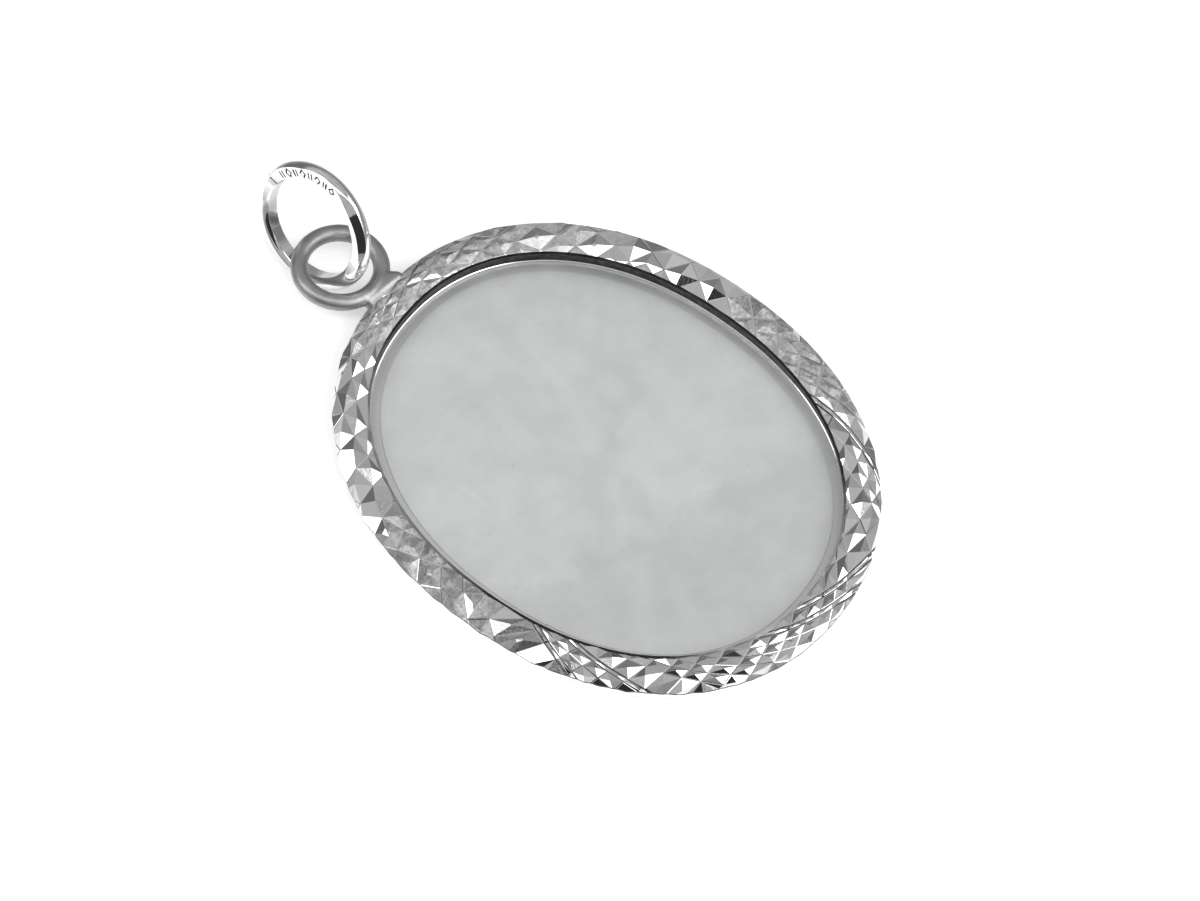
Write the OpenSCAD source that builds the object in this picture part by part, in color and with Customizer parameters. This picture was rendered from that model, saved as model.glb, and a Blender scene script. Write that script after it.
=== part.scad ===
// Oval engravable pendant: a border frame cut into small points, a plain plate and a bail ring.
// Origin at the middle of the oval on the flat back, +Y towards the loop, +Z out of the engraving face.

/* [Oval] */
// Width of the oval frame
oval_w = 19.9; // [16:0.1:24]
// Length of the oval frame without its loop
oval_l = 25; // [20:0.5:30]
// Fullness of the oval, where 2 is a true ellipse
oval_fullness = 2.13; // [2:0.01:2.4]

/* [Border] */
// Width of the border seen from the front
border_w = 1.6; // [1.4:0.1:2.2]
// Height of the border's crest over the back
border_h = 1.6; // [1.4:0.1:2]
// Height at which the border is widest
side_z = 1.05; // [0.8:0.05:1.2]
// Height of the border's inner edge
inner_z = 1.4; // [1.1:0.05:1.4]
// How far the border is drawn in at its back
under_w = 0.55; // [0.3:0.05:0.7]
// Number of cut points in a row round the border
point_count = 56; // [40:1:72]
// Depth of the grooves between the points
groove_depth = 0.2; // [0.08:0.02:0.24]

/* [Plate] */
// Thickness of the engraving plate
plate_t = 0.5; // [0.3:0.05:0.6]
// Width of the sunk margin round the engraving field
margin_w = 0.5; // [0.3:0.1:1.5]
// Depth of the sunk margin
margin_depth = 0.05; // [0.02:0.01:0.1]
// How far the plate reaches under the frame
rebate_w = 0.4; // [0.3:0.05:0.5]
// Gap between the plate and the frame
seat_gap = 0.04; // [0.02:0.01:0.08]

/* [Loop] */
// Radius of the soldered loop's centre line
loop_r = 1.8; // [1.78:0.01:1.84]
// Diameter of the loop's wire
loop_wire = 0.76; // [0.66:0.02:0.8]
// Distance from the oval's end to the loop's middle
loop_out = 2.1; // [2.08:0.01:2.14]
// Height of the loop's middle over the back
loop_z = 1.18; // [1.16:0.01:1.22]
// Twist of the loop about the pendant's length, in degrees
loop_twist = 8; // [7:0.5:9]
// Radius of the solder's rounded corners
solder_r = 0.3; // [0.24:0.02:0.32]
// Half width of the solder along the border
solder_w = 0.78; // [0.7:0.02:0.84]

/* [Bail ring] */
// Radius of the bail ring's centre line
ring_r = 2.66; // [2.64:0.01:2.7]
// Diameter of the ring's wire
ring_wire = 0.82; // [0.7:0.02:0.84]
// Distance from the wire's middle to the ring's flatter inner face
ring_flat = 0.3; // [0.2:0.02:0.36]
// Lean of the ring from lying flat, in degrees
ring_lean = 65.6; // [65:0.2:66]
// Direction the ring leans to, in degrees about +Z
ring_turn = 175; // [174:0.5:176]
// Distance from the loop's middle to the ring's middle, across the pendant
ring_side = 0.28; // [0.26:0.01:0.3]
// Distance from the loop's middle to the ring's middle, along the pendant
ring_out = 1.6; // [1.58:0.01:1.62]

/* [Hidden] */

half_w = oval_w / 2;
half_l = oval_l / 2;
columns = 2 * point_count;
plate_sides = 120;
round_steps = 96;
wire_steps = 32;
solder_steps = 20;

crest_inset = 0.53 * border_w;
seat_z = plate_t + seat_gap;
rebate_inset = border_w - rebate_w;
loop_y = half_l + loop_out;
ring_z = ring_r * sin(ring_lean) + ring_wire / 2;

// Outline of the oval at a polar angle, and the direction straight out of it
function oval_radius(a) =
    pow(
        pow(abs(cos(a)) / half_w, oval_fullness) + pow(abs(sin(a)) / half_l, oval_fullness),
        -1 / oval_fullness
    );
function oval_point(a) = oval_radius(a) * [cos(a), sin(a)];
function slope(v, half) = sign(v) * pow(abs(v) / half, oval_fullness - 1) / half;
function oval_outward(a) =
    let (
        p = oval_point(a),
        g = [slope(p.x, half_w), slope(p.y, half_l)]
    )
    g / norm(g);

// Length run along the oval against the polar angle, so that points can be spaced evenly
arc_table = [
    for (
        a = 0, run = 0;
        a <= 360;
        run = run + norm(oval_point(a + 1) - oval_point(a)), a = a + 1
    )
    [run, a]
];
perimeter = arc_table[len(arc_table) - 1][0];

// A point at a share of the way round, an inset from the outline and a height
function rim_point(share, inset, z) =
    let (
        a = lookup(perimeter * share, arc_table),
        p = oval_point(a) - inset * oval_outward(a)
    )
    [p.x, p.y, z];

// The border's curved side as [inset, height]: -90 at its back, 0 where it is widest, 90 at its
// crest and inner_angle at its inner edge
inner_angle = 140;
inner_reach = (border_w - crest_inset) / sin(inner_angle - 90);
inner_drop = (border_h - inner_z) / (1 - cos(inner_angle - 90));
function border_curve(a) =
    a < 0 ? [under_w * (1 - cos(a)), side_z * (1 + sin(a))]
    : a < 90 ? [crest_inset * (1 - cos(a)), side_z + (border_h - side_z) * sin(a)]
    : [crest_inset + inner_reach * sin(a - 90), border_h - inner_drop * (1 - cos(a - 90))];

cut_angles = [0, 38, 72, 104, inner_angle];
back_angles = [-90, -60, -30];
edge_share = 0.5;
last_cut = len(cut_angles) - 1;

// Rows of the section, each with an inset, a height, the direction that it is cut in and how deep
function cut_row(i) =
    let (
        a = cut_angles[i],
        p = border_curve(a),
        share = i == 0 || i == last_cut ? edge_share : 1
    )
    [p[0], p[1], min(a, 90), share * groove_depth];
function plain_row(inset, z) = [inset, z, 0, 0];
section = concat(
    [for (i = [0 : last_cut]) cut_row(i)],
    [
        plain_row(border_w, seat_z),
        plain_row(rebate_inset, seat_z),
        plain_row(rebate_inset, 0)
    ],
    [for (a = back_angles) let (p = border_curve(a)) plain_row(p[0], p[1])]
);
section_rows = len(section);

// In the lattice every other place stands on the surface, and the groove crossings between are sunk
function is_sunk(row, column) = (row + column) % 2 == 1;
function lattice_point(row, column) =
    let (
        s = section[row],
        depth = is_sunk(row, column) ? s[3] : 0
    )
    rim_point(column / columns, s[0] + depth * cos(s[2]), s[1] - depth * sin(s[2]));
function lattice_index(row, column) = (row % section_rows) * columns + column % columns;

// Two triangles for each cell, parted along its groove
function lattice_cell(row, column) =
    let (
        near = lattice_index(row, column),
        beside = lattice_index(row, column + 1),
        below = lattice_index(row + 1, column),
        far = lattice_index(row + 1, column + 1)
    )
    is_sunk(row, column)
        ? [[near, far, beside], [near, below, far]]
        : [[near, below, beside], [beside, below, far]];

module border() {
    polyhedron(
        points = [
            for (row = [0 : section_rows - 1], column = [0 : columns - 1])
            lattice_point(row, column)
        ],
        faces = [
            for (row = [0 : section_rows - 1], column = [0 : columns - 1])
            each lattice_cell(row, column)
        ]
    );
}

module soldered_loop() {
    translate([0, loop_y, loop_z])
    rotate([0, loop_twist, 0])
    rotate_extrude($fn = round_steps)
    translate([loop_r, 0])
    circle(r = loop_wire / 2, $fn = wire_steps);
}

// The solder fills the corners on both sides of the place where the loop meets the border
module solder() {
    hull()
    for (side = [-1, 1]) {
        translate([side * solder_w, half_l - solder_r, side_z])
        sphere(r = solder_r, $fn = solder_steps);
        translate([side * solder_w / 2, half_l + solder_r / 3, loop_z - side * solder_r / 5])
        sphere(r = solder_r, $fn = solder_steps);
    }
}

module frame_with_loop() {
    color("silver")
    union() {
        border();
        soldered_loop();
        solder();
    }
}

module oval(inset) {
    polygon([
        for (i = [0 : plate_sides - 1])
        let (p = rim_point(i / plate_sides, inset, 0))
        [p.x, p.y]
    ]);
}

module engraving_plate() {
    color("gainsboro")
    union() {
        linear_extrude(plate_t - margin_depth)
        oval(rebate_inset + seat_gap);
        linear_extrude(plate_t)
        oval(border_w + margin_w);
    }
}

module bail_ring() {
    color("whitesmoke")
    translate([ring_side, loop_y + ring_out, ring_z])
    rotate([0, ring_lean, ring_turn])
    rotate_extrude($fn = round_steps)
    intersection() {
        translate([ring_r, 0])
        circle(r = ring_wire / 2, $fn = wire_steps);
        translate([ring_r - ring_flat, -ring_wire])
        square([ring_wire + ring_flat, 2 * ring_wire]);
    }
}

frame_with_loop();
engraving_plate();
bail_ring();
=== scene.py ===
"""Looks of the engravable pendant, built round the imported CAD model, in metres in its frame."""

import bisect
import math
import random

import bmesh
import bpy
from mathutils import Matrix, Vector


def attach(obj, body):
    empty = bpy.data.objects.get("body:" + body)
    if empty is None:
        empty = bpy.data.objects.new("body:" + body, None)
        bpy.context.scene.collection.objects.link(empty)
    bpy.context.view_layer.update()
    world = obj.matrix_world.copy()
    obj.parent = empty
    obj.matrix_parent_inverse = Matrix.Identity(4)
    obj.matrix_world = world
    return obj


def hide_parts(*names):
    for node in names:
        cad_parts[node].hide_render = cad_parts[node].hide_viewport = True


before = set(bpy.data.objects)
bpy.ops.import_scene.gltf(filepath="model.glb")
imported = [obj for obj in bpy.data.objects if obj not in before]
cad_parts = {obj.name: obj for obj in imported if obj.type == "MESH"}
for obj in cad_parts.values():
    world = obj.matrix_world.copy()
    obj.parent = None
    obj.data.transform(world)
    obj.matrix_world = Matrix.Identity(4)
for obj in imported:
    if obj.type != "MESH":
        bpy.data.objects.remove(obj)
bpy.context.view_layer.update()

MM = 0.001

# The oval and the border's section, with the same values as the CAD part, in millimetres
HALF_W = 9.95
HALF_L = 12.5
FULLNESS = 2.13
BORDER_W = 1.6
BORDER_H = 1.6
SIDE_Z = 1.05
INNER_Z = 1.4
UNDER_W = 0.55
CREST_INSET = 0.53 * BORDER_W
SEAT_Z = 0.54
REBATE_INSET = 1.2
INNER_ANGLE = 140
INNER_REACH = (BORDER_W - CREST_INSET) / math.sin(math.radians(INNER_ANGLE - 90))
INNER_DROP = (BORDER_H - INNER_Z) / (1 - math.cos(math.radians(INNER_ANGLE - 90)))

# Loop, solder and bail ring, as in the CAD part
LOOP_R = 1.8
LOOP_WIRE = 0.76
LOOP_MIDDLE = Vector((0, HALF_L + 2.1, 1.18))
LOOP_TWIST = 8
SOLDER_R = 0.3
# The solder fills the space between these balls: across, out from the oval's end and up
SOLDER_BALLS = (
    (-0.5, -0.02, 1.1),
    (1.15, -0.12, 1.08),
    (-0.48, 0.12, 1.22),
    (0.85, 0.24, 1.12),
)
RING_R = 2.66
RING_WIRE = 0.82
RING_FLAT = 0.3
RING_LEAN = 65.6
RING_TURN = 175
RING_MIDDLE = Vector(
    (0.28, LOOP_MIDDLE.y + 1.6, RING_R * math.sin(math.radians(RING_LEAN)) + RING_WIRE / 2)
)


# The oval


def oval_point(polar):
    c, s = math.cos(polar), math.sin(polar)
    r = (abs(c / HALF_W) ** FULLNESS + abs(s / HALF_L) ** FULLNESS) ** (-1 / FULLNESS)
    return Vector((r * c, r * s))


def oval_outward(point):
    def slope(v, half):
        return math.copysign((abs(v) / half) ** (FULLNESS - 1), v) / half

    return Vector((slope(point.x, HALF_W), slope(point.y, HALF_L))).normalized()


OVAL_STEPS = 2880
RUN = [0.0]
for i in range(OVAL_STEPS):
    a, b = (oval_point(2 * math.pi * k / OVAL_STEPS) for k in (i, i + 1))
    RUN.append(RUN[-1] + (b - a).length)
PERIMETER = RUN[-1]


def polar_at(run):
    """Polar angle of the place that is run millimetres along the oval, from +X towards +Y."""
    run %= PERIMETER
    i = min(bisect.bisect_right(RUN, run) - 1, OVAL_STEPS - 1)
    share = (run - RUN[i]) / (RUN[i + 1] - RUN[i])
    return 2 * math.pi * (i + share) / OVAL_STEPS


def rim_point(run, inset, z):
    p = oval_point(polar_at(run))
    out = oval_outward(p)
    return Vector((p.x - inset * out.x, p.y - inset * out.y, z))


def between(rows, x):
    """Value at x from rows of (place, value), straight from each row to the next."""
    for (start, low), (end, high) in zip(rows, rows[1:]):
        if x <= end:
            return low + (high - low) * max(0, x - start) / (end - start)
    return rows[-1][1]


def by_run(rows, run):
    """Value at a place along the oval, from rows of (run, value)."""
    return between(rows + ((rows[0][0] + PERIMETER, rows[0][1]),), run % PERIMETER)


# The border's section


def border_curve(angle):
    """Inset and height, as in the CAD part."""
    a = math.radians(angle)
    if angle < 0:
        return UNDER_W * (1 - math.cos(a)), SIDE_Z * (1 + math.sin(a))
    if angle < 90:
        return CREST_INSET * (1 - math.cos(a)), SIDE_Z + (BORDER_H - SIDE_Z) * math.sin(a)
    a -= math.pi / 2
    return CREST_INSET + INNER_REACH * math.sin(a), BORDER_H - INNER_DROP * (1 - math.cos(a))


# The cuts reach down to this angle of the section
CUT_START = 0
# Share of a height that counts when the section is laid flat
HEIGHT_SHARE = 0.4
ACROSS = [0.0]
ACROSS_STEPS = 400


def section_angle(i):
    return CUT_START + (INNER_ANGLE - CUT_START) * i / ACROSS_STEPS


for i in range(ACROSS_STEPS):
    (i0, z0), (i1, z1) = border_curve(section_angle(i)), border_curve(section_angle(i + 1))
    ACROSS.append(ACROSS[-1] + math.hypot(i1 - i0, HEIGHT_SHARE * (z1 - z0)))
BAND = ACROSS[-1]
# Keeps the last place of a table inside it
JUST_INSIDE = 1e-9


def angle_at(across):
    across = min(max(across, 0), BAND - JUST_INSIDE)
    i = min(bisect.bisect_right(ACROSS, across) - 1, ACROSS_STEPS - 1)
    return section_angle(i + (across - ACROSS[i]) / (ACROSS[i + 1] - ACROSS[i]))


def across_at(angle):
    i = (angle - CUT_START) / (INNER_ANGLE - CUT_START) * ACROSS_STEPS
    k = min(int(i), ACROSS_STEPS - 1)
    return ACROSS[k] + (i - k) * (ACROSS[k + 1] - ACROSS[k])


# The outer mark, where the tables of cuts give each cut's outer place: an angle of the section
OUTER_MARK_ANGLE = 28
OUTER_MARK = across_at(OUTER_MARK_ANGLE)
# The surface's slope is taken this many degrees to both sides
SLOPE_REACH = 0.5


def on_border(run, across, lift):
    """A point of the border: along the oval, across the band and lifted out of its surface."""
    angle = angle_at(across)
    inset, z = border_curve(angle)
    i0, z0 = border_curve(angle - SLOPE_REACH)
    i1, z1 = border_curve(angle + SLOPE_REACH)
    tangent = Vector((i1 - i0, z1 - z0)).normalized()
    return rim_point(run, inset - lift * tangent.y, z + lift * tangent.x)


# The cut pattern

# Cuts that lean one way. Each row: number of cuts up to the next row, where the first one
# meets the inner edge and where it passes the outer mark, in mm along the oval
RISING_CUTS = (
    (6, 1.05, -0.3),
    (7, 9.8, 8.35),
    (1, 22.8, 18.3),
    (3, 25.1, 20.3),
    (3, 31.8, 28.65),
    (3, 38.0, 35.95),
    (6, 41.15, 39.95),
    (1, 48.1, 46.5),
    (6, 49.75, 47.8),
    (1, 57.6, 54.4),
    (1, 59.5, 57.1),
    (1, 61.4, 58.9),
    (2, 63.45, 59.4),
    (4, 67.0, 63.45),
    (1, 71.15, 69.35),
)
# Cuts that lean the other way, in the same form
FALLING_CUTS = (
    (2, 1.1, 2.9),
    (2, 5.1, 7.5),
    (2, 9.75, 13.0),
    (3, 13.4, 17.1),
    (3, 18.1, 20.3),
    (1, 23.1, 24.6),
    (3, 25.0, 25.95),
    (5, 29.3, 30.05),
    (2, 35.8, 37.35),
    (4, 42.9, 47.5),
    (3, 48.6, 53.2),
    (5, 55.75, 58.55),
    (6, 63.85, 65.15),
)
# Cuts struck twice, which leave two lines of painted shade in their bottoms: where they meet
# the inner edge and pass the outer mark
DOUBLE_CUTS = (
    (38.85, 41.1),
    (40.8, 44.2),
    (50.75, 55.2),
    (53.1, 57.0),
    (65.75, 61.4),
)
# Distance between the two lines of a double cut, and the width of each
DOUBLE_GAP = 0.2
LINE_W = 0.055
# Depth of the cuts, and the steepest slope of a point
CUT_DEPTH = 0.2
STEEPEST = math.tan(math.radians(30))
# The flat band is cut this much longer and wider, and trimmed later
SPARE_RUN = 8
SPARE_ACROSS = 1.0
# A place this near a cut or an edge of the band lies on it
ON_EDGE = 1e-4
# Crossings this near each other are one, and shorter edges are dropped
SAME_CROSSING = 0.02
SHORTEST_EDGE = 0.01
# Cells smaller than this, in square millimetres, are slivers and are left out
LEAST_AREA = 1e-4

# How worn the border is along its run: 0 where the cuts are bright, 1 where they are rubbed dull
WEAR = (
    (0.0, 0.35),
    (1.0, 0.1),
    (5.0, 0.15),
    (6.5, 0.4),
    (10.5, 0.5),
    (12.0, 1.0),
    (18.5, 0.95),
    (20.0, 0.6),
    (21.0, 0.35),
    (24.0, 0.2),
    (24.5, 0.05),
    (29.0, 0.1),
    (31.0, 0.9),
    (36.0, 0.95),
    (37.5, 0.4),
    (40.0, 0.3),
    (42.0, 0.1),
    (63.5, 0.05),
    (64.8, 0.9),
    (69.5, 0.95),
    (71.3, 0.8),
)
# How deep the cuts are at the border's outer edge, as a share of their depth
OUTER_SHARE = (
    (0.0, 0.12),
    (12.0, 0.12),
    (22.0, 0.3),
    (30.0, 0.45),
    (34.0, 0.75),
    (40.0, 0.5),
    (50.0, 0.3),
    (60.0, 0.3),
    (66.0, 0.12),
)
# How much flatter the points are where they are worn
WORN_FLATTER = 0.5
# The share of facets there that stay bright, and how worn those are
SPARED_SHARE = 0.1
SPARED_WEAR = 0.3
# Random ranges: factors of a point's wear and height, shift of its tip as a share of its size,
# and a facet's tone
WEAR_SPREAD = (0.8, 1.2)
HEIGHT_SPREAD = (0.85, 1.0)
TIP_SHIFT = 0.15
TONE_SPREAD = (0.8, 1.0)
# Half the width of a cut's bottom and the largest share of a facet that it takes,
# how little it rises, how worn it is and how many get painted shade in their bottoms
GROOVE_W = 0.03
WIDEST_GROOVE = 0.4
GROOVE_RISE = 0.3
GROOVE_WEAR = 0.25
DARK_GROOVES = 0.08
# Where the points are fully worn, this share of their height and width is a nearly flat top.
# Under the least share they stay pointed
WORN_TOP = 0.35
LEAST_TOP = 0.1
TOP_UNEVEN = 0.08
# Depth of the cuts at the inner edge, as a share, and the widths over which both edges fade
INNER_SHARE = 0.5
INNER_FADE = 0.35
OUTER_FADE = 0.5
# Longest edge along the band's two sides
RIM_STEP = 0.35

# Material numbers of the border. The cut facets have number 0
WALL, BACK, LINE, SATIN = range(1, 5)


def spread(rows):
    """All cuts of a table, with the ones between two rows evenly spaced."""
    _, inner, outer = rows[0]
    closed = rows + ((0, inner + PERIMETER, outer + PERIMETER),)
    cuts = []
    for (count, inner, outer), (_, next_inner, next_outer) in zip(closed, closed[1:]):
        for k in range(count):
            share = k / count
            cuts.append(
                (inner + share * (next_inner - inner), outer + share * (next_outer - outer))
            )
    return cuts


def cut_lines(inner, outer, shift=0.0):
    """Start and direction of a cut in the flat band, once for each turn that the band covers."""
    lines = []
    for turn in (-PERIMETER, 0, PERIMETER):
        start = Vector((outer + turn, OUTER_MARK, 0))
        along = Vector((inner + turn, BAND, 0)) - start
        sideways = Vector((-along.y, along.x, 0)).normalized()
        if -SPARE_RUN < start.x < PERIMETER + SPARE_RUN:
            lines.append((start + shift * sideways, sideways))
    return lines


def flat_cells():
    """The band laid flat and split by every cut, as polygons in run and across."""
    bm = bmesh.new()
    low, high = -SPARE_RUN, PERIMETER + SPARE_RUN
    bottom, top = -SPARE_ACROSS, BAND + SPARE_ACROSS
    corners = [(low, bottom), (high, bottom), (high, top), (low, top)]
    bm.faces.new([bm.verts.new((x, y, 0)) for x, y in corners])
    lines = []
    for inner, outer in spread(RISING_CUTS) + spread(FALLING_CUTS):
        lines += cut_lines(inner, outer)
    strokes = []
    for inner, outer in DOUBLE_CUTS:
        for middle in (0, DOUBLE_GAP):
            strokes += cut_lines(inner, outer, middle)
            for side in (-LINE_W / 2, LINE_W / 2):
                lines += cut_lines(inner, outer, middle + side)
    for start, sideways in lines:
        bmesh.ops.bisect_plane(
            bm,
            geom=bm.verts[:] + bm.edges[:] + bm.faces[:],
            plane_co=start,
            plane_no=sideways,
            dist=ON_EDGE,
        )
    bmesh.ops.remove_doubles(bm, verts=bm.verts[:], dist=SAME_CROSSING)
    bmesh.ops.dissolve_degenerate(bm, edges=bm.edges[:], dist=SHORTEST_EDGE)
    return bm, strokes


def in_stroke(place, strokes):
    return any(abs((place - start).dot(sideways)) < LINE_W / 2 for start, sideways in strokes)


def foot_place(corner, apex, reach):
    """Where a point's facets rise out of the flatter bottom of the cut."""
    share = min(GROOVE_W / reach, WIDEST_GROOVE)
    place = corner.lerp(apex, share)
    place.z = GROOVE_RISE * share * apex.z
    return place


# A cell's seed is its place: this many steps a millimetre, and this many seeds for each step along
SEED_STEPS = 10
SEED_ROW = 1000


def cell_dice(middle):
    """Random draws for a cell, the same where the band shows it again after a full turn."""
    along = round(SEED_STEPS * (middle.x % PERIMETER))
    return random.Random(SEED_ROW * along + round(SEED_STEPS * middle.y))


def raise_points(cells, strokes):
    """Each cell becomes a low point, whose edges lie at the bottom of the cuts."""
    tops = bmesh.new()
    wear = tops.faces.layers.float.new("wear")
    tone = tops.faces.layers.float.new("tone")
    twins = {v: tops.verts.new(v.co) for v in cells.verts}
    for face in cells.faces:
        area = face.calc_area()
        if area < LEAST_AREA:
            continue
        middle = face.calc_center_median_weighted()
        ring = [twins[v] for v in face.verts]
        # The double cuts' strokes get the dark line metal: painted shade in their bottoms
        if in_stroke(middle, strokes):
            tops.faces.new(ring).material_index = LINE
            continue
        reach = 2 * area / face.calc_perimeter()
        dice = cell_dice(middle)
        rubbed = min(by_run(WEAR, middle.x) * dice.uniform(*WEAR_SPREAD), 1)
        softened = 1 - WORN_FLATTER * rubbed
        middle.x += dice.uniform(-TIP_SHIFT, TIP_SHIFT) * reach
        middle.y += dice.uniform(-TIP_SHIFT, TIP_SHIFT) * reach
        middle.z = min(CUT_DEPTH, STEEPEST * reach) * softened * dice.uniform(*HEIGHT_SPREAD)
        foot = [tops.verts.new(foot_place(v.co, middle, reach)) for v in ring]
        flat = WORN_TOP * rubbed
        upper = foot
        if flat > LEAST_TOP:
            upper = []
            for v in ring:
                place = v.co.lerp(middle, 1 - flat)
                place.z *= 1 - dice.uniform(0, TOP_UNEVEN)
                upper.append(tops.verts.new(place))
            middle.z *= 1 - flat
        apex = tops.verts.new(middle)
        for k in range(len(ring)):
            n = (k + 1) % len(ring)
            facets = [tops.faces.new((upper[k], upper[n], apex))]
            if upper is not foot:
                facets.append(tops.faces.new((foot[k], foot[n], upper[n], upper[k])))
            spared = dice.random() < SPARED_SHARE
            for facet in facets:
                facet[wear] = SPARED_WEAR * rubbed if spared else rubbed
                facet[tone] = dice.uniform(*TONE_SPREAD)
            groove = tops.faces.new((ring[k], ring[n], foot[n], foot[k]))
            groove[wear] = GROOVE_WEAR * rubbed
            groove[tone] = dice.uniform(*TONE_SPREAD)
            # A few groove bottoms get the dark line metal as painted shade
            if dice.random() < DARK_GROOVES:
                groove.material_index = LINE
    return tops


# A place this near the trim's edge lies on it
TRIM_GAP = 1e-5


def trim(bm):
    """Cuts the flat band to its length and width."""
    for at, normal in (
        ((0, 0, 0), (-1, 0, 0)),
        ((PERIMETER, 0, 0), (1, 0, 0)),
        ((0, 0, 0), (0, -1, 0)),
        ((0, BAND, 0), (0, 1, 0)),
    ):
        bmesh.ops.bisect_plane(
            bm,
            geom=bm.verts[:] + bm.edges[:] + bm.faces[:],
            plane_co=at,
            plane_no=normal,
            dist=TRIM_GAP,
            clear_outer=True,
        )
    return bm


def split_rims(bm):
    """Puts points along the band's two long sides, so that they follow the oval smoothly."""
    for edge in bm.edges[:]:
        a, b = (v.co for v in edge.verts)
        parts = math.ceil(abs(b.x - a.x) / RIM_STEP)
        outside = max(a.y, b.y) < ON_EDGE
        inside = min(a.y, b.y) > BAND - ON_EDGE
        if (outside or inside) and parts > 1:
            bmesh.ops.subdivide_edges(bm, edges=[edge], cuts=parts - 1)
    return bm


def edge_share(run, across):
    """The cuts are shallower along both edges."""
    inner = min(1, (BAND - across) / INNER_FADE)
    outer = min(1, across / OUTER_FADE)
    least = by_run(OUTER_SHARE, run)
    return min(INNER_SHARE + (1 - INNER_SHARE) * inner, least + (1 - least) * outer)


# Points this near each other, where the band's two ends meet, are one point
SEAM_GAP = 0.002


def wrap_round(flat):
    """Bends the flat band round the oval. Returns the mesh and its outer and inner rings."""
    bm = bmesh.new()
    layers = [(flat.faces.layers.float[k], bm.faces.layers.float.new(k)) for k in ("wear", "tone")]
    twins, seam = {}, []
    outer_ring, inner_ring = [], []
    for v in flat.verts:
        run, across, top = v.co
        if run > PERIMETER - ON_EDGE:
            run = 0.0
        if run < ON_EDGE:
            near = (made for y, z, made in seam if abs(y - across) + abs(z - top) < SEAM_GAP)
            twins[v] = next(near, None)
            if twins[v]:
                continue
        lift = (top - CUT_DEPTH) * edge_share(run, across)
        twins[v] = bm.verts.new(on_border(run, across, lift))
        if run < ON_EDGE:
            seam.append((across, top, twins[v]))
        if across < ON_EDGE:
            outer_ring.append((run, twins[v]))
        if across > BAND - ON_EDGE:
            inner_ring.append((run, twins[v]))
    for face in flat.faces:
        corners = list(dict.fromkeys(twins[v] for v in face.verts))
        if len(corners) < 3 or bm.faces.get(corners):
            continue
        made = bm.faces.new(corners)
        made.material_index = face.material_index
        for source, target in layers:
            made[target] = face[source]
    return bm, sorted(outer_ring, key=lambda r: r[0]), sorted(inner_ring, key=lambda r: r[0])


# The same tone all the way round
EVEN_TONE = ((0, 1), (PERIMETER, 1))


def close_ring(bm, ring, rows, dents=None, tones=EVEN_TONE):
    """Carries a ring of the cut band down through plain rows of (inset, height, material)."""
    dents = dents or [0] * len(ring)
    tone = bm.faces.layers.float["tone"]
    for inset, z, material in rows:
        lower = [
            (run, bm.verts.new(rim_point(run, inset + dent, z)))
            for (run, _), dent in zip(ring, dents)
        ]
        for k in range(len(ring)):
            n = (k + 1) % len(ring)
            face = bm.faces.new([ring[k][1], ring[n][1], lower[n][1], lower[k][1]])
            face.material_index = material
            face.smooth = True
            face[tone] = by_run(tones, ring[k][0])
        ring = lower
    return ring


def stitch(bm, outer_ring, inner_ring, material):
    """Triangles between two rings of (run, vertex), both sorted by run."""
    i = j = 0
    n, m = len(outer_ring), len(inner_ring)
    while i < n or j < m:
        next_i = outer_ring[(i + 1) % n][0] + (PERIMETER if i + 1 >= n else 0)
        next_j = inner_ring[(j + 1) % m][0] + (PERIMETER if j + 1 >= m else 0)
        a, b = outer_ring[i % n][1], inner_ring[j % m][1]
        if j >= m or (i < n and next_i <= next_j):
            face = bm.faces.new((a, outer_ring[(i + 1) % n][1], b))
            i += 1
        else:
            face = bm.faces.new((a, inner_ring[(j + 1) % m][1], b))
            j += 1
        face.material_index = material


# Soft lip along the inner edge, and the thin bead of solder where the wall meets the plate
LIP_W = 0.07
WALL_MIDDLE_Z = 1.1
WALL_FOOT_Z = 0.62
BEAD_W = 0.03
BEAD_TOP_Z = 0.6
BEAD_FOOT_Z = 0.56
# Grey of the wall and of its lip along the run: painted shade of the deep recess, and of the dark
# line along the inner edge
WALL_TONE = (
    (0.0, 0.02),
    (17.0, 0.02),
    (22.0, 0.1),
    (33.0, 0.2),
    (37.0, 0.05),
    (47.0, 0.08),
    (52.0, 0.3),
    (62.0, 0.22),
    (67.0, 0.04),
)
# The lip's grey is painted shade: the dark line along the border's inner edge
LIP_TONE = (
    (0.0, 0.03),
    (19.0, 0.03),
    (23.0, 0.3),
    (33.0, 0.25),
    (36.0, 0.03),
    (45.0, 0.05),
    (48.0, 0.4),
    (51.0, 0.5),
    (57.0, 0.4),
    (61.0, 0.04),
)
# Rows of the side below the cuts: angle of the section and how much of the cuts' dents is left.
# The first one is the dark edge where the cutter stopped
SIDE_ROWS = ((-7, 1.0), (-12, 0.8), (-25, 0.5), (-45, 0.2), (-68, 0.0), (-90, 0.0))


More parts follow.
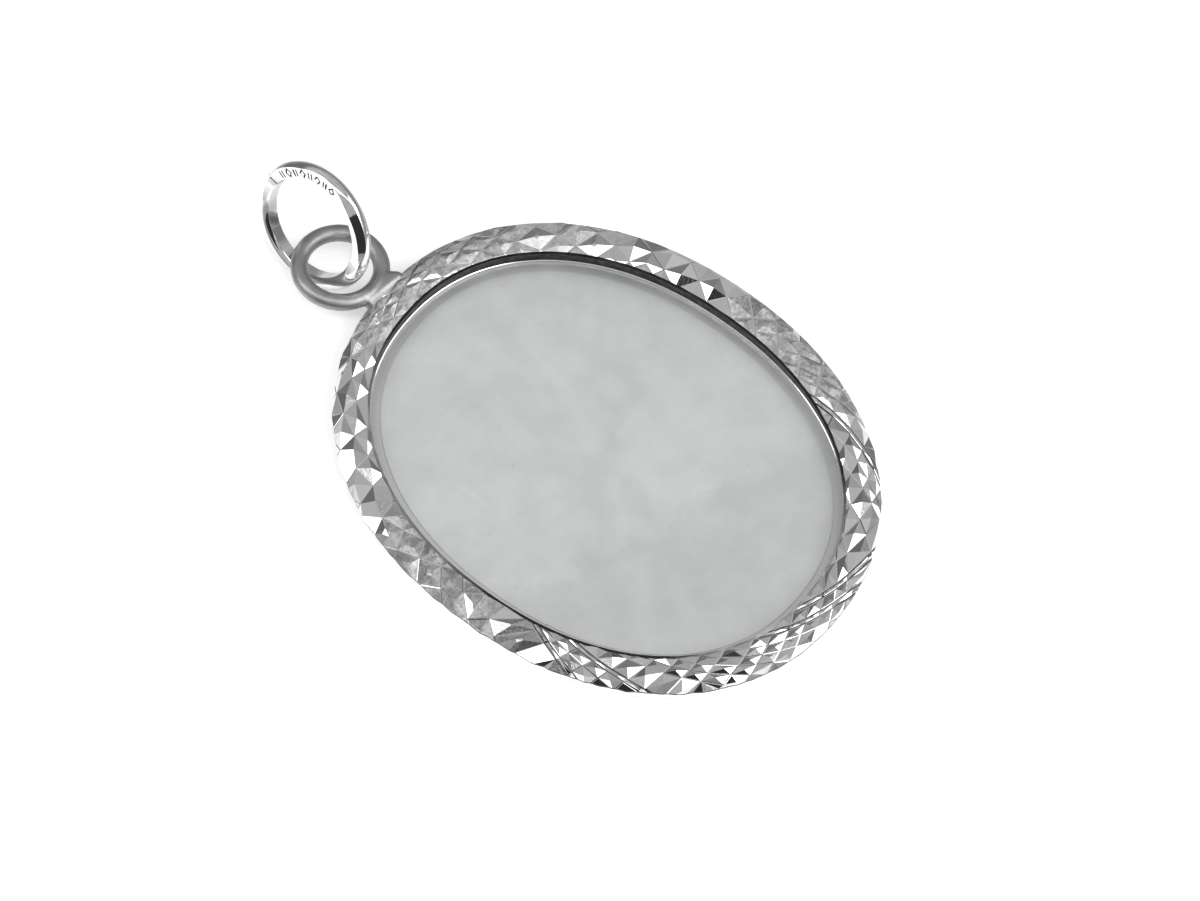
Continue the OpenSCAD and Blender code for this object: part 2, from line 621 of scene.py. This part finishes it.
def cut_border():
    cells, strokes = flat_cells()
    flat = split_rims(trim(raise_points(cells, strokes)))
    bm, outer_ring, inner_ring = wrap_round(flat)
    dents = [(rim_point(run, 0, v.co.z) - v.co).length for run, v in outer_ring]
    lowest = outer_ring
    for angle, left in SIDE_ROWS:
        inset, z = border_curve(angle)
        material = LINE if lowest is outer_ring else BACK
        lowest = close_ring(bm, lowest, [(inset, z, material)], [left * dent for dent in dents])
    lip = [
        (BORDER_W + LIP_W, INNER_Z - LIP_W, WALL),
        (BORDER_W + LIP_W, INNER_Z - 2 * LIP_W, WALL),
    ]
    inner_ring = close_ring(bm, inner_ring, lip, tones=LIP_TONE)
    wall = [
        (BORDER_W, WALL_MIDDLE_Z, WALL),
        (BORDER_W, WALL_FOOT_Z, WALL),
        (BORDER_W + BEAD_W, BEAD_TOP_Z, BACK),
        (BORDER_W + BEAD_W, BEAD_FOOT_Z, BACK),
        (BORDER_W, SEAT_Z, BACK),
        (REBATE_INSET, SEAT_Z, BACK),
        (REBATE_INSET, 0, BACK),
    ]
    seat = close_ring(bm, inner_ring, wall, tones=WALL_TONE)
    stitch(bm, lowest, seat, BACK)
    bmesh.ops.triangulate(bm, faces=[f for f in bm.faces if len(f.verts) > 4])
    bmesh.ops.recalc_face_normals(bm, faces=bm.faces[:])
    return bm


# Loop, solder and bail ring


def to_object(bm, name, materials=(), size=MM):
    """An object from a mesh in millimetres, which is freed. With size 1 it stays in millimetres."""
    mesh = bpy.data.meshes.new(name)
    bmesh.ops.scale(bm, vec=(size, size, size), verts=bm.verts[:])
    bm.to_mesh(mesh)
    bm.free()
    for m in materials:
        mesh.materials.append(m)
    obj = bpy.data.objects.new(name, mesh)
    bpy.context.scene.collection.objects.link(obj)
    return obj


def with_modifiers(obj):
    """The mesh that an object's modifiers leave, as a bmesh. The object itself is deleted."""
    bpy.context.view_layer.update()
    shown = obj.evaluated_get(bpy.context.evaluated_depsgraph_get())
    bm = bmesh.new()
    bm.from_mesh(shown.to_mesh())
    shown.to_mesh_clear()
    bpy.data.objects.remove(obj)
    return bm


def turned_section(angles, section, radius):
    """A closed ring. Angles in degrees, section a closed list of (away from the middle, height)."""
    bm = bmesh.new()
    columns = []
    for angle in angles:
        a = math.radians(angle)
        column = []
        for x, z in section:
            away = radius + x
            column.append(bm.verts.new((away * math.cos(a), away * math.sin(a), z)))
        columns.append(column)
    for here, there in zip(columns, columns[1:] + columns[:1]):
        for j in range(len(section)):
            k = (j + 1) % len(section)
            bm.faces.new((here[j], there[j], there[k], here[k])).smooth = True
    bmesh.ops.recalc_face_normals(bm, faces=bm.faces[:])
    return bm


def round_section(diameter, steps):
    angles = [2 * math.pi * k / steps for k in range(steps)]
    return [(diameter / 2 * math.cos(a), diameter / 2 * math.sin(a)) for a in angles]


def loop_pose():
    return Matrix.Translation(LOOP_MIDDLE) @ Matrix.Rotation(math.radians(LOOP_TWIST), 4, "Y")


LOOP_STEPS = 120
LOOP_WIRE_STEPS = 32
BALL_SEGMENTS = 20
BALL_RINGS = 12
# The loop and the solder are melted together in voxels of this size, and then smoothed
VOXEL = 0.05
SMOOTH_SHARE = 0.5
SMOOTH_ROUNDS = 12


def loop_with_solder():
    """The loop's wire and the solder beside it, melted into one smooth mesh in millimetres."""
    angles = [360 * k / LOOP_STEPS for k in range(LOOP_STEPS)]
    bm = turned_section(angles, round_section(LOOP_WIRE, LOOP_WIRE_STEPS), LOOP_R)
    bmesh.ops.transform(bm, matrix=loop_pose(), verts=bm.verts[:])
    balls = []
    for across, out, z in SOLDER_BALLS:
        place = Matrix.Translation((across, HALF_L + out, z))
        made = bmesh.ops.create_uvsphere(
            bm,
            u_segments=BALL_SEGMENTS,
            v_segments=BALL_RINGS,
            radius=SOLDER_R,
            matrix=place,
        )
        balls += made["verts"]
    hull = bmesh.ops.convex_hull(bm, input=balls)
    inside = [v for v in hull["geom_interior"] if isinstance(v, bmesh.types.BMVert)]
    bmesh.ops.delete(bm, geom=inside, context="VERTS")
    rough = to_object(bm, "loop_rough", size=1)
    remesh = rough.modifiers.new("remesh", "REMESH")
    remesh.mode = "VOXEL"
    remesh.voxel_size = VOXEL
    smooth = rough.modifiers.new("smooth", "SMOOTH")
    smooth.factor = SMOOTH_SHARE
    smooth.iterations = SMOOTH_ROUNDS
    bm = with_modifiers(rough)
    for face in bm.faces:
        face.smooth = True
        face.material_index = SATIN
    return bm


def soldered_border():
    """The cut border with its loop, as one closed mesh."""
    border = to_object(cut_border(), "border_rough", size=1)
    loop = to_object(loop_with_solder(), "loop_smooth", size=1)
    union = border.modifiers.new("union", "BOOLEAN")
    union.operation = "UNION"
    union.solver = "EXACT"
    union.object = loop
    bm = with_modifiers(border)
    bpy.data.objects.remove(loop)
    return bm


def ring_pose():
    lean = Matrix.Rotation(math.radians(RING_LEAN), 4, "Y")
    turn = Matrix.Rotation(math.radians(RING_TURN), 4, "Z")
    return Matrix.Translation(RING_MIDDLE) @ turn @ lean


# Distance of the wire's inner flat from its middle, at some angles round the ring
INNER_FLAT = (
    (0, RING_FLAT),
    (80, RING_FLAT),
    (105, 0.4),
    (145, 0.4),
    (165, RING_FLAT),
    (360, RING_FLAT),
)
# The side along the ring's axis is pressed a little flat too: the direction that this flat faces
# in the wire's section, and its distance from the wire's middle at some angles
PRESS_FACES = Vector((-0.2, 0.98))
PRESSED = (
    (0, 0.41),
    (75, 0.41),
    (92, 0.33),
    (115, 0.36),
    (140, 0.385),
    (155, 0.34),
    (166, 0.28),
    (240, 0.28),
    (256, 0.36),
    (280, 0.41),
    (360, 0.41),
)
# The flank, between the pressed side and the outermost place, is a little flat as well
FLANK_FACES = Vector((0.64, 0.77))
FLANK = ((0, 0.41), (98, 0.41), (112, 0.355), (150, 0.355), (164, 0.41), (360, 0.41))
# Plain punch marks on the pressed side, diamonds and pairs of bars by turns
MARK_FROM = 172
MARK_TO = 236
MARK_COUNT = 8
MARK_DEPTH = 0.04
MARK_LINE = 0.06
DIAMOND_W = 0.15
DIAMOND_H = 0.21
BAR_APART = 0.08
BAR_H = 0.18
# Seam where the wire's two ends meet, with a small step
SEAM_AT = 250
SEAM_DEPTH = 0.03
SEAM_HALF = 0.8
STEP_OUT = 0.04
STEP_FADE = 30
WIRE_STEPS = 144
# Steps round the ring in degrees: the fine ones begin before the first mark and end past the seam
COARSE_STEP = 1.5
FINE_STEP = 0.4
FINE_BEFORE = 6
FINE_PAST = 2
POLISHED, RECESS = range(2)


def in_mark(angle, up):
    """Whether a place on the pressed flat lies in a mark's line."""
    step = (MARK_TO - MARK_FROM) / (MARK_COUNT - 1)
    k = round((angle - MARK_FROM) / step)
    if not 0 <= k < MARK_COUNT:
        return False
    along = abs(math.radians(angle - MARK_FROM - k * step)) * RING_R
    if k % 2:
        return abs(along - BAR_APART) < MARK_LINE / 2 and abs(up) < BAR_H
    slant = math.hypot(1 / DIAMOND_W, 1 / DIAMOND_H)
    return abs(along / DIAMOND_W + abs(up) / DIAMOND_H - 1) / slant < MARK_LINE / 2


def wire_place(around, angle):
    """A point of the wire's section and whether it lies in a mark. Both angles in degrees."""
    turn = math.radians(around)
    place = RING_WIRE / 2 * Vector((math.cos(turn), math.sin(turn)))
    place.x = max(place.x, -between(INNER_FLAT, angle))
    over = max(0, place.dot(FLANK_FACES) - between(FLANK, angle))
    place = place - FLANK_FACES * over
    limit = between(PRESSED, angle)
    out = place.dot(PRESS_FACES)
    marked = False
    if out > limit:
        marked = in_mark(angle, place.dot(PRESS_FACES.orthogonal()))
        place = place - PRESS_FACES * (out - limit + (MARK_DEPTH if marked else 0))
    seam = 1 - min(abs(angle - SEAM_AT) / SEAM_HALF, 1)
    place = place * (1 - SEAM_DEPTH * seam / (RING_WIRE / 2))
    if angle < SEAM_AT:
        place.x += STEP_OUT * max(0, 1 - (SEAM_AT - angle) / STEP_FADE)
    return place, marked


def ring_angles():
    """Angles round the ring, close together where it is marked."""
    start, end = MARK_FROM - FINE_BEFORE, SEAM_AT + FINE_PAST
    coarse = [COARSE_STEP * k for k in range(round(360 / COARSE_STEP))]
    fine = [start + FINE_STEP * k for k in range(int((end - start) / FINE_STEP) + 1)]
    return sorted(set([angle for angle in coarse if not start < angle < end] + fine))


def bail_ring():
    bm = bmesh.new()
    columns, marked = [], set()
    for angle in ring_angles():
        a = math.radians(angle)
        column = []
        for k in range(WIRE_STEPS):
            place, is_marked = wire_place(360 * k / WIRE_STEPS, angle)
            away = RING_R + place.x
            v = bm.verts.new((away * math.cos(a), away * math.sin(a), place.y))
            column.append(v)
            if is_marked:
                marked.add(v)
        columns.append(column)
    for here, there in zip(columns, columns[1:] + columns[:1]):
        for k in range(WIRE_STEPS):
            n = (k + 1) % WIRE_STEPS
            corners = (here[k], there[k], there[n], here[n])
            face = bm.faces.new(corners)
            face.smooth = True
            sunk = sum(v in marked for v in corners)
            face.material_index = RECESS if sunk >= 2 else POLISHED
    bmesh.ops.recalc_face_normals(bm, faces=bm.faces[:])
    bmesh.ops.transform(bm, matrix=ring_pose(), verts=bm.verts[:])
    return bm


# Shader helpers


def add_node(tree, kind, inputs=None, **settings):
    made = tree.nodes.new("ShaderNode" + kind)
    for name, value in settings.items():
        setattr(made, name, value)
    for name, value in (inputs or {}).items():
        if isinstance(value, bpy.types.NodeSocket):
            tree.links.new(value, made.inputs[name])
        else:
            made.inputs[name].default_value = value
    return made


def calc(tree, operation, a, b=0.0):
    return add_node(tree, "Math", {0: a, 1: b}, operation=operation).outputs[0]


def remap(tree, value, low, high, to_low, to_high, smooth=True):
    """Value from low..high to to_low..to_high, held at the ends."""
    made = add_node(
        tree,
        "MapRange",
        {"Value": value, "From Min": low, "From Max": high, "To Min": to_low, "To Max": to_high},
        interpolation_type="SMOOTHSTEP" if smooth else "LINEAR",
    )
    return made.outputs["Result"]


def blend(tree, share, a, b):
    """a where share is 0, b where it is 1."""
    return add_node(tree, "Mix", {"Factor": share, 2: a, 3: b}, data_type="FLOAT").outputs[0]


def vector_calc(tree, operation, a, b=(0, 0, 0)):
    """The node of a vector operation. Its first output is a vector and Value is a number."""
    return add_node(tree, "VectorMath", {0: a, 1: b}, operation=operation)


def dot(tree, vector, axis):
    return vector_calc(tree, "DOT_PRODUCT", vector, axis).outputs["Value"]


def place_mm(tree, stretch=(1, 1, 1)):
    """The place on the object in millimetres, which may be stretched."""
    coords = add_node(tree, "TexCoord").outputs["Object"]
    return vector_calc(tree, "MULTIPLY", coords, tuple(k / MM for k in stretch)).outputs[0]


def noise(tree, place, size, detail=3.0, roughness=0.55):
    """Noise from 0 to 1. The size of its spots is in the unit of place."""
    made = add_node(
        tree,
        "TexNoise",
        {"Vector": place, "Scale": 1 / size, "Detail": detail, "Roughness": roughness},
    )
    return made.outputs["Fac"]


# Most of a noise lies between these values
NOISE_LOW = 0.3
NOISE_HIGH = 0.7


def vary(tree, noise_value, low, high, smooth=True):
    """Carries the usual range of a noise to low..high."""
    return remap(tree, noise_value, NOISE_LOW, NOISE_HIGH, low, high, smooth)


def attribute(tree, name):
    return add_node(tree, "Attribute", attribute_name=name).outputs["Fac"]


def bump(tree, shader, height, depth, strength):
    """Depth in millimetres."""
    made = add_node(tree, "Bump", {"Height": height, "Distance": depth * MM, "Strength": strength})
    tree.links.new(made.outputs["Normal"], shader.inputs["Normal"])


def tint(tree, shader, value, color):
    """Base colour: a grey value times a colour."""
    gray = add_node(tree, "CombineColor", {"Red": value, "Green": value, "Blue": value})
    made = add_node(
        tree,
        "Mix",
        {"Factor": 1.0, 6: gray.outputs[0], 7: (*color, 1)},
        data_type="RGBA",
        blend_type="MULTIPLY",
    )
    tree.links.new(made.outputs[2], shader.inputs["Base Color"])


def set_roughness(tree, shader, value):
    tree.links.new(value, shader.inputs["Roughness"])


def new_metal(name):
    material = bpy.data.materials.new(name)
    material.use_nodes = True
    shader = material.node_tree.nodes["Principled BSDF"]
    shader.inputs["Metallic"].default_value = 1
    return material, material.node_tree, shader


# Materials

# Colours of the metals, as factors of their greys
SILVER = (1, 1, 0.995)
NEUTRAL = (1, 1, 1)
COOL = (0.985, 0.994, 1)
# A facet counts as bright under the first share of wear and as dull over the second
WEAR_BRIGHT = 0.15
WEAR_DULL = 0.75
BRIGHT_GRAY = 0.95
BRIGHT_ROUGH = 0.05
WORN_DARK = 0.39
WORN_LIGHT = 0.67
PIT_SHADE = 0.55
# Each facet's tone gives its own shade where it is worn
OWN_SHADE = (0.72, 1.25)


def facet_metal():
    """Bright cuts that turn into dull, mottled metal with small pits where they are worn."""
    material, tree, shader = new_metal("cut_facets")
    wear = remap(tree, attribute(tree, "wear"), WEAR_BRIGHT, WEAR_DULL, 0, 1)
    place = place_mm(tree)
    grain = noise(tree, place, size=0.14, detail=4)
    mottle = blend(tree, 0.5, noise(tree, place, size=0.45), grain)
    dull = remap(tree, mottle, 0.4, 0.6, WORN_DARK, WORN_LIGHT)
    pits = remap(tree, noise(tree, place, size=0.1, detail=1), 0.68, 0.74, 1.0, PIT_SHADE)
    dull = calc(tree, "MULTIPLY", dull, pits)
    own_shade = remap(tree, attribute(tree, "tone"), *TONE_SPREAD, *OWN_SHADE, smooth=False)
    dull = calc(tree, "MULTIPLY", dull, own_shade)
    bright = calc(tree, "MULTIPLY", attribute(tree, "tone"), BRIGHT_GRAY)
    tint(tree, shader, blend(tree, wear, bright, dull), SILVER)
    set_roughness(tree, shader, blend(tree, wear, BRIGHT_ROUGH, vary(tree, grain, 0.52, 0.64)))
    strength = remap(tree, wear, 0, 1, 0.06, 0.5, smooth=False)
    bump(tree, shader, grain, depth=0.04, strength=strength)
    return material


def wall_metal():
    """The plain wall inside the border, painted dark as the shade of its deep recess, with polish
    left in it.
    """
    material, tree, shader = new_metal("inner_wall_painted_shade")
    place = place_mm(tree)
    cloudy = vary(tree, noise(tree, place, size=1.2), 0.75, 1.3)
    # The tone attribute carries the painted shade of the wall and its lip along the run
    tint(tree, shader, calc(tree, "MULTIPLY", attribute(tree, "tone"), cloudy), NEUTRAL)
    set_roughness(tree, shader, vary(tree, noise(tree, place, size=0.3), 0.4, 0.6))
    return material


def back_metal():
    """The outer side and the flat back, polished but less bright than the cuts."""
    material, tree, shader = new_metal("side_and_back")
    place = place_mm(tree)
    tint(tree, shader, vary(tree, noise(tree, place, size=1.5), 0.84, 0.93), SILVER)
    set_roughness(tree, shader, vary(tree, noise(tree, place, size=0.6), 0.08, 0.16))
    bump(tree, shader, noise(tree, place, size=0.3), depth=0.01, strength=0.3)
    return material


def dark_metal(name, size, darkest, lightest, roughness):
    """Dark grey metal in spots of a size, for painted shade in cuts and marks."""
    material, tree, shader = new_metal(name)
    spots = noise(tree, place_mm(tree), size)
    tint(tree, shader, remap(tree, spots, 0.35, 0.65, darkest, lightest), NEUTRAL)
    shader.inputs["Roughness"].default_value = roughness
    return material


def line_metal():
    """Dark grey painted as shade into the bottoms of the double cuts and of a few others, also used
    for the edge where the cutter stopped.
    """
    return dark_metal("cut_lines", size=0.5, darkest=0.04, lightest=0.16, roughness=0.5)


def satin_metal():
    """The loop and its solder, matt from the flame and the pickle."""
    material, tree, shader = new_metal("satin_loop")
    place = place_mm(tree)
    tint(tree, shader, vary(tree, noise(tree, place, size=0.9), 0.36, 0.46), SILVER)
    grain = noise(tree, place, size=0.12, detail=4)
    set_roughness(tree, shader, vary(tree, grain, 0.4, 0.48))
    bump(tree, shader, grain, depth=0.012, strength=0.4)
    return material


# The plate's darker patch: a point on its edge and the direction across that edge
PATCH_EDGE = Vector((-1.71, -3.17, 0))
PATCH_ACROSS = Vector((-0.397, -0.918, 0))
PATCH_SHADE = 0.93
PATCH_RAGGED = 4.0
# The sunk margin next to the wall is painted darker as shade, and this painted shade ends between
# these heights
MARGIN_SHADE = 0.92
MARGIN_TOP = (0.455, 0.49)
SPECK_SHADE = 0.88
# Smudges, and one painted highlight streak whose grey is over 1: middle, half length along the
# oval's length and across it, and grey
SMUDGES = (
    ((4.9, 6.4), 1.6, 0.9, 0.95),
    ((3.2, 7.6), 0.8, 1.6, 0.96),
    # A painted highlight streak, lighter than the sheet
    ((-4.8, 3.6), 1.4, 0.22, 1.05),
    ((-5.6, -1.0), 1.8, 0.5, 0.96),
)
# How ragged a smudge or the painted highlight is, and where its edge begins and ends, as shares of
# its size
SMUDGE_RAGGED = 1.2
SMUDGE_FADE = (0.5, 1.7)


def smudge(tree, place, middle, half_length, half_width, gray):
    """A soft spot on the plate, 1 outside it and gray in its middle: a smudge where gray is under 1,
    a painted highlight where it is over 1.
    """
    moved = vector_calc(tree, "SUBTRACT", place, (*middle, 0)).outputs[0]
    scale = (1 / half_width, 1 / half_length, 0)
    scaled = vector_calc(tree, "MULTIPLY", moved, scale).outputs[0]
    away = vector_calc(tree, "LENGTH", scaled).outputs["Value"]
    uneven = calc(tree, "MULTIPLY", noise(tree, place, size=0.7, detail=5), SMUDGE_RAGGED)
    return remap(tree, calc(tree, "ADD", away, uneven), *SMUDGE_FADE, gray, 1)


def plate_metal():
    """Cloudy polished sheet with specks, smudges, a painted highlight streak, a darker patch and
    painted shade along the sunk margin.
    """
    material, tree, shader = new_metal("plate_sheet")
    place = place_mm(tree)
    clouds = noise(tree, place, size=5.0, detail=4, roughness=0.5)
    value = vary(tree, clouds, 0.855, 0.895)
    wavy = calc(tree, "SUBTRACT", noise(tree, place, size=2.0, detail=5, roughness=0.6), 0.5)
    edge = calc(tree, "SUBTRACT", dot(tree, place, PATCH_ACROSS), PATCH_ACROSS.dot(PATCH_EDGE))
    edge = calc(tree, "ADD", edge, calc(tree, "MULTIPLY", wavy, PATCH_RAGGED))
    inside = remap(tree, edge, -0.2, 0.6, 0, 1)
    haze = noise(tree, place, size=0.8, detail=6, roughness=0.7)
    shades = [
        vary(tree, haze, 0.97, 1.03, smooth=False),
        remap(tree, noise(tree, place, size=0.22, detail=2), 0.71, 0.76, 1, SPECK_SHADE),
        blend(tree, inside, 1.0, PATCH_SHADE),
        # Painted shade along the sunk margin next to the wall
        remap(tree, dot(tree, place, (0, 0, 1)), *MARGIN_TOP, MARGIN_SHADE, 1),
    ]
    shades += [smudge(tree, place, *row) for row in SMUDGES]
    for shade in shades:
        value = calc(tree, "MULTIPLY", value, shade)
    tint(tree, shader, value, COOL)
    set_roughness(tree, shader, vary(tree, noise(tree, place, size=1.4), 0.47, 0.53))
    brushed = noise(tree, place_mm(tree, stretch=(1, 4, 1)), size=0.5, detail=4)
    bump(tree, shader, brushed, depth=0.006, strength=0.4)
    return material


def ring_metal():
    """Mirror polish with the faintest hairlines."""
    material, tree, shader = new_metal("ring_polish")
    place = place_mm(tree)
    tint(tree, shader, vary(tree, noise(tree, place, size=0.8), 0.9, 0.96), SILVER)
    hairlines = noise(tree, place, size=0.25)
    set_roughness(tree, shader, remap(tree, hairlines, 0.4, 0.7, 0.015, 0.05))
    bump(tree, shader, noise(tree, place, size=0.6), depth=0.006, strength=0.5)
    return material


def recess_metal():
    """Dark grey painted into the bottom of the punch marks as their shade."""
    return dark_metal("mark_recess_painted_shade", size=0.2, darkest=0.03, lightest=0.09, roughness=0.4)


# Camera and light

VIEW_AZIMUTH = math.radians(-52.21)
VIEW_ELEVATION = math.radians(64.61)
# Distance of the camera and the place that it aims at, seen from the origin, in millimetres
VIEW_DISTANCE = 296.5
AIM_RIGHT = -0.259
AIM_UP = 0.641
LENS = 206.7
SENSOR_W = 36
# Nearest and furthest place that the camera shows, in metres
CLIP_START = 0.01
CLIP_END = 10


def view_axes():
    """The camera's directions to its right, up and back."""
    a, e = VIEW_AZIMUTH, VIEW_ELEVATION
    back = Vector((math.sin(a) * math.cos(e), -math.cos(a) * math.cos(e), math.sin(e)))
    right = Vector((math.cos(a), math.sin(a), 0))
    return right, back.cross(right), back


def add_camera():
    right, up, back = view_axes()
    data = bpy.data.cameras.new("camera")
    data.lens = LENS
    data.sensor_width = SENSOR_W
    data.clip_start = CLIP_START
    data.clip_end = CLIP_END
    camera = bpy.data.objects.new("camera", data)
    bpy.context.scene.collection.objects.link(camera)
    place = (AIM_RIGHT * right + AIM_UP * up + VIEW_DISTANCE * back) * MM
    turn = Matrix((right, up, back)).transposed().to_4x4()
    camera.matrix_world = Matrix.Translation(place) @ turn
    bpy.context.scene.camera = camera


def sky_direction(turn, elevation):
    """A direction in the studio. Turn is 0 beyond the object for the camera and 90 to its right."""
    right, _, back = view_axes()
    ahead = Vector((-back.x, -back.y, 0)).normalized()
    t, e = math.radians(turn), math.radians(elevation)
    level = math.sin(t) * right + math.cos(t) * ahead
    return level * math.cos(e) + Vector((0, 0, math.sin(e)))


# Panels of the studio, each laid over the ones before. Turn and elevation of its middle, half
# its width and half its height in degrees, softness of its edge and brightness
PANELS = {
    "left_wall": (-50, 15, 45, 18, 0.12, 0.15),
    "camera_side": (180, 6, 80, 12, 0.12, 0.28),
    "right_softbox": (115, 44, 32, 16, 0.05, 3.0),
    "left_softbox": (-90, 42, 8, 19, 0.05, 3.0),
    "top_softbox": (180, 77, 34, 6, 0.05, 3.0),
    "far_side": (30, 8, 80, 17, 0.12, 0.2),
    "photographer": (192, 22, 24, 18, 0.02, 0.03),
    "lens": (180, 64.6, 5, 5, 0.03, 0.03),
}
# Brightness of the studio behind the panels, from its darkest to its lightest places
STUDIO_DARK = 0.36
STUDIO_LIGHT = 0.54
STUDIO_SPOTS = 0.45
# Keeps the division by the facing share away from zero
LEAST_FACING = 0.01


def sky_light():
    world = bpy.data.worlds.new("studio")
    world.use_nodes = True
    bpy.context.scene.world = world
    tree = world.node_tree
    direction = add_node(tree, "TexCoord").outputs["Generated"]
    spots = noise(tree, direction, size=STUDIO_SPOTS, detail=2)
    light = remap(tree, spots, 0.35, 0.65, STUDIO_DARK, STUDIO_LIGHT)
    for turn, elevation, half_width, half_height, softness, brightness in PANELS.values():
        middle = sky_direction(turn, elevation)
        side = Vector((0, 0, 1)).cross(middle).normalized()
        over = middle.cross(side)
        facing = dot(tree, direction, middle)
        mask = calc(tree, "GREATER_THAN", facing, 0)
        for axis, half in ((side, half_width), (over, half_height)):
            depth = calc(tree, "MAXIMUM", facing, LEAST_FACING)
            away = calc(tree, "DIVIDE", dot(tree, direction, axis), depth)
            away = calc(tree, "ABSOLUTE", away)
            edge = math.tan(math.radians(half))
            inside = remap(tree, away, edge - softness, edge + softness, 1, 0)
            mask = calc(tree, "MULTIPLY", mask, inside)
        light = blend(tree, mask, light, brightness)
    tree.links.new(light, tree.nodes["Background"].inputs["Color"])


# Half the floor's width and its depth under the pendant, in millimetres
FLOOR_HALF = 600
FLOOR_DROP = 0.01
# Light that is added to the floor for the camera, and for what mirrors it
FLOOR_GLOW = 0.35
FLOOR_EVEN = 0.45
# Grey of the mirrored floor seen steeply and seen flat, and the facing shares between the two
FLOOR_NEAR = 0.95
FLOOR_FAR = 0.24
FLOOR_FADE = (0.6, 0.9)
# One grey place of the mirrored floor: right of the origin and ahead of it as the camera sees it,
# where it begins and ends, in mm, and its grey
GRAY_RIGHT = 2
GRAY_AHEAD = 18
GRAY_REACH = (6, 26)
GRAY_PLACE = 0.33


def add_floor():
    """White to the camera. In reflections it is bright close by and grey towards the horizon."""
    bm = bmesh.new()
    bmesh.ops.create_grid(bm, x_segments=1, y_segments=1, size=FLOOR_HALF)
    floor = to_object(bm, "floor")
    floor.location.z = -FLOOR_DROP * MM
    material = bpy.data.materials.new("white_floor")
    material.use_nodes = True
    tree = material.node_tree
    tree.nodes.clear()
    seen = add_node(tree, "BsdfDiffuse", {"Color": (1, 1, 1, 1)})
    glow = add_node(tree, "Emission", {"Color": (1, 1, 1, 1), "Strength": FLOOR_GLOW})
    shown = add_node(tree, "AddShader", {0: seen.outputs[0], 1: glow.outputs[0]})
    middle = GRAY_RIGHT * sky_direction(90, 0) + GRAY_AHEAD * sky_direction(0, 0)
    away = vector_calc(tree, "DISTANCE", place_mm(tree), middle).outputs["Value"]
    near = remap(tree, away, *GRAY_REACH, GRAY_PLACE, FLOOR_NEAR)
    grazing = add_node(tree, "LayerWeight").outputs["Facing"]
    gray = remap(tree, grazing, *FLOOR_FADE, near, FLOOR_FAR)
    color = add_node(tree, "CombineColor", {"Red": gray, "Green": gray, "Blue": gray})
    lit = add_node(tree, "BsdfDiffuse", {"Color": color.outputs[0]})
    even = add_node(tree, "Emission", {"Color": color.outputs[0], "Strength": FLOOR_EVEN})
    mirrored = add_node(tree, "AddShader", {0: lit.outputs[0], 1: even.outputs[0]})
    seen_by_camera = add_node(tree, "LightPath").outputs["Is Camera Ray"]
    mix = add_node(
        tree,
        "MixShader",
        {0: seen_by_camera, 1: mirrored.outputs[0], 2: shown.outputs[0]},
    )
    output = add_node(tree, "OutputMaterial")
    tree.links.new(mix.outputs[0], output.inputs["Surface"])
    floor.data.materials.append(material)


# Pieces

SHARP = math.radians(35)


def mark_sharp(bm):
    """Edges that turn more than the sharp angle are shown as edges."""
    for edge in bm.edges:
        if len(edge.link_faces) == 2 and edge.calc_face_angle() > SHARP:
            edge.smooth = False


def add_piece(bm, name, materials, node):
    mark_sharp(bm)
    piece = to_object(bm, name, materials)
    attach(piece, "root")
    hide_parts(node)


bpy.context.scene.view_settings.view_transform = "Standard"
add_camera()
sky_light()
add_floor()
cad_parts["engraving_plate"].data.materials[0] = plate_metal()
add_piece(
    soldered_border(),
    name="border_with_loop",
    materials=[facet_metal(), wall_metal(), back_metal(), line_metal(), satin_metal()],
    node="frame_with_loop",
)
add_piece(
    bail_ring(),
    name="polished_ring",
    materials=[ring_metal(), recess_metal()],
    node="bail_ring",
)
